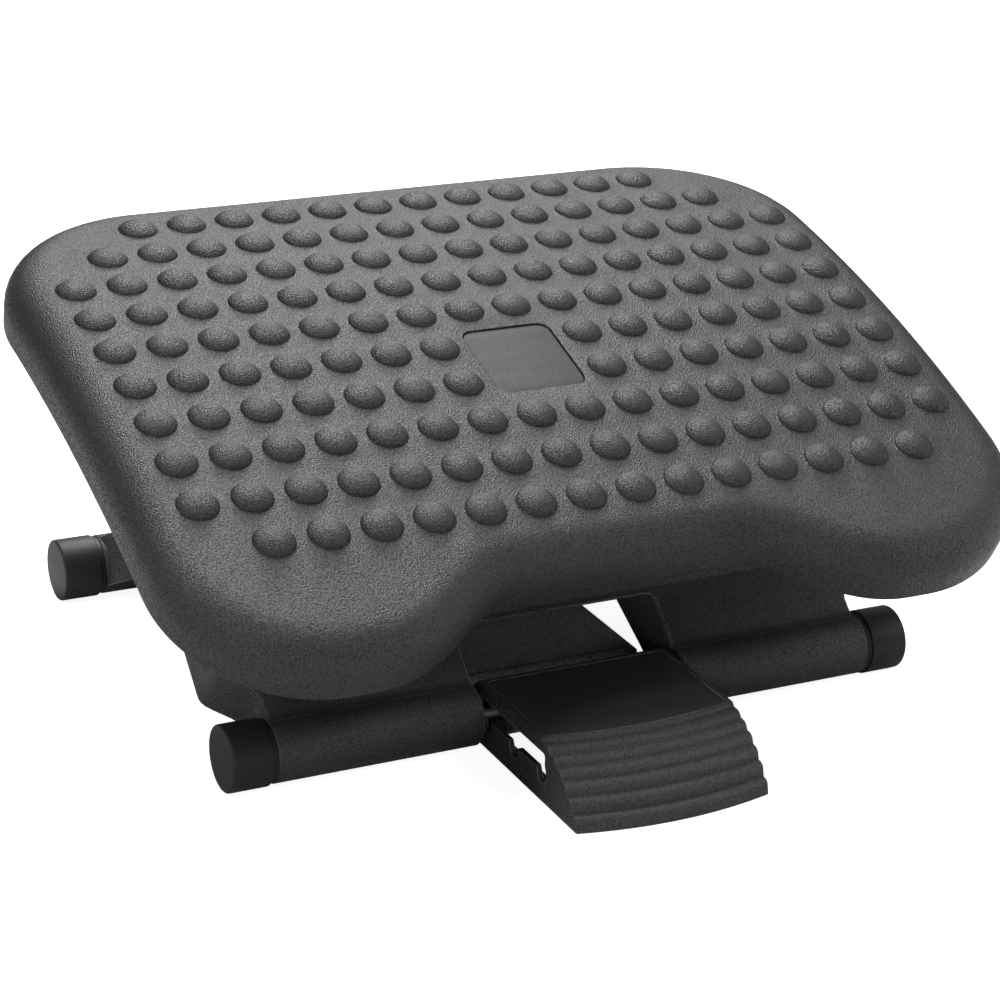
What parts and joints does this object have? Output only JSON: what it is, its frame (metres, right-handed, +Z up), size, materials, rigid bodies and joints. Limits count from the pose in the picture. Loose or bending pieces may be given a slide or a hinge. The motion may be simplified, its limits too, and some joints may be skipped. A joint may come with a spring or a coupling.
{
  "type": "under desk footrest",
  "caption": "Tilting under desk footrest with an arched platform of massage domes on two hinged steel legs and a toothed height pedal.",
  "frame": {"origin": "on the floor, under the middle of the whole footrest", "axes": "+X to the right of someone using it, +Y to the back, away from the user, +Z up"},
  "size_m": [0.45, 0.3642, 0.2088],
  "materials": {
    "deck_plastic": "matt charcoal, fine pebble grain",
    "badge_plastic": "matt charcoal, finer grain",
    "smooth_plastic": "satin black, smooth",
    "nylon": "matt black",
    "painted_steel": "black textured powder coat",
    "plain_steel": "zinc-plated, dull"
  },
  "bodies": {
    "rack": {"pedal_body": "smooth_plastic", "pedal_cover": "smooth_plastic", "tie_plate": "painted_steel", "rack_screw_1": "plain_steel", "rack_screw_2": "plain_steel", "rack_screw_3": "plain_steel", "rack_screw_4": "plain_steel"},
    "rack_pivot": {"pivot_pin": "plain_steel", "pivot_spacer_left": "nylon", "pivot_spacer_right": "nylon", "pivot_retainer_left": "plain_steel", "pivot_retainer_right": "plain_steel"},
    "rear_leg_body": {"rear_leg": "painted_steel", "rear_cap_left": "smooth_plastic", "rear_cap_right": "smooth_plastic"},
    "hinge_rod_body": {"hinge_rod": "plain_steel", "friction_washer_left": "nylon", "friction_washer_right": "nylon", "rod_spacer_left": "nylon", "rod_spacer_right": "nylon", "rod_retainer_left": "plain_steel", "rod_retainer_right": "plain_steel"},
    "front_leg_body": {"front_leg": "painted_steel", "front_cap_left": "smooth_plastic", "front_cap_right": "smooth_plastic", "lock_pin": "plain_steel", "lock_retainer_left": "plain_steel", "lock_retainer_right": "plain_steel"},
    "deck": {"platform": "deck_plastic", "badge_plate": "badge_plastic", "deck_bracket_left": "painted_steel", "deck_bracket_right": "painted_steel", "deck_screw_1": "plain_steel", "deck_screw_2": "plain_steel", "deck_screw_3": "plain_steel", "deck_screw_4": "plain_steel"}
  },
  "joints": [
    {"name": "pedal_lift", "type": "hinge", "parent": "rack", "child": "rack_pivot", "pos_m": [0, 0.16179, 0.01625], "axis": [1, 0, 0], "range_deg": [0, 1.25]},
    {"name": "leg_fold", "type": "hinge", "parent": "rack_pivot", "child": "rear_leg_body", "pos_m": [0, 0.16179, 0.01625], "axis": [1, 0, 0], "range_deg": [0, 20]},
    {"name": "rod_turn", "type": "hinge", "parent": "rear_leg_body", "child": "hinge_rod_body", "pos_m": [0, 0.04354, 0.12198], "axis": [1, 0, 0], "range_deg": [-20, 0]},
    {"name": "front_leg_spread", "type": "hinge", "parent": "rear_leg_body", "child": "front_leg_body", "pos_m": [0, 0.04354, 0.12198], "axis": [1, 0, 0], "range_deg": [-40, 0]},
    {"name": "deck_tilt", "type": "hinge", "parent": "hinge_rod_body", "child": "deck", "pos_m": [0, 0.04354, 0.12198], "axis": [1, 0, 0], "range_deg": [-28, 1]}
  ],
  "couplings": [
    {"joint": "rod_turn", "follows": "leg_fold", "ratio": -1},
    {"joint": "front_leg_spread", "follows": "leg_fold", "ratio": -2}
  ]
}
